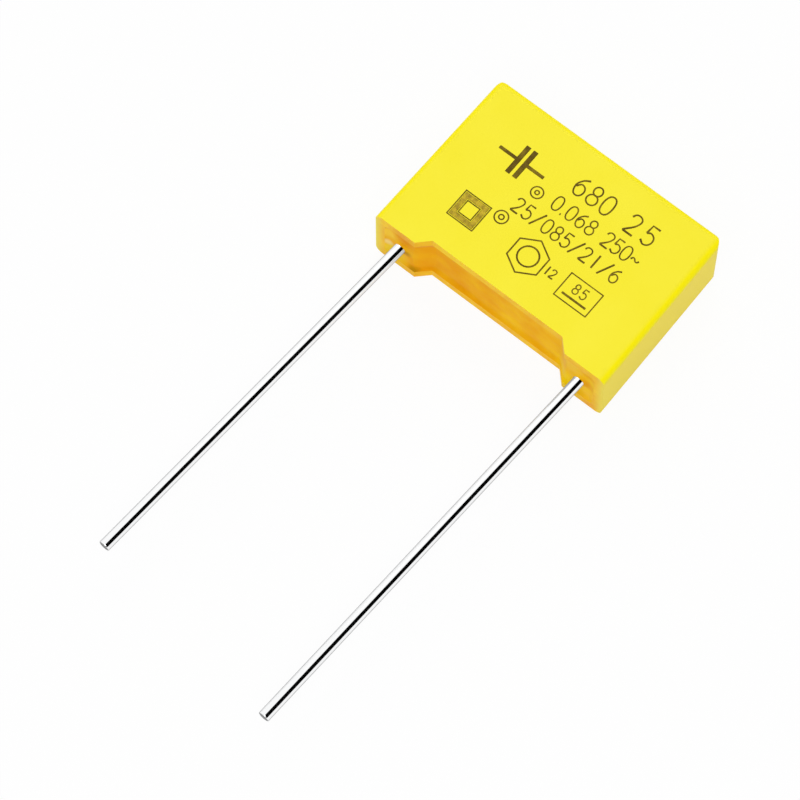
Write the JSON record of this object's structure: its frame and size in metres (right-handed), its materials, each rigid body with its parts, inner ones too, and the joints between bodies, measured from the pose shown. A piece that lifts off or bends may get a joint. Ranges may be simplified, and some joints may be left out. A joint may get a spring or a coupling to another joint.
{
  "type": "box film capacitor",
  "caption": "Boxed film capacitor with a moulded case on stand-off feet, sealed with resin, and straight radial wire leads.",
  "frame": {"origin": "centre of the case's back face, on which the part lies", "axes": "+X along the lead spacing, +Y from the leads towards the case's closed top, +Z from the back face to the front face"},
  "size_m": [0.0128, 0.0294, 0.0038],
  "materials": {
    "case_plastic": "satin moulded PBT, bright yellow",
    "epoxy_resin": "cast epoxy, amber orange, semi-gloss",
    "metallised_film": "wound polypropylene film with a vacuum-deposited metal layer",
    "sprayed_zinc": "rough arc-sprayed zinc, dull grey",
    "tinned_wire": "bright tin plating, drawn wire"
  },
  "bodies": {
    "root": {"case": "case_plastic", "potting_resin": "epoxy_resin", "film_winding": "metallised_film", "end_spray_left": "sprayed_zinc", "end_spray_right": "sprayed_zinc", "lead_left": "tinned_wire", "lead_right": "tinned_wire"}
  },
  "joints": []
}
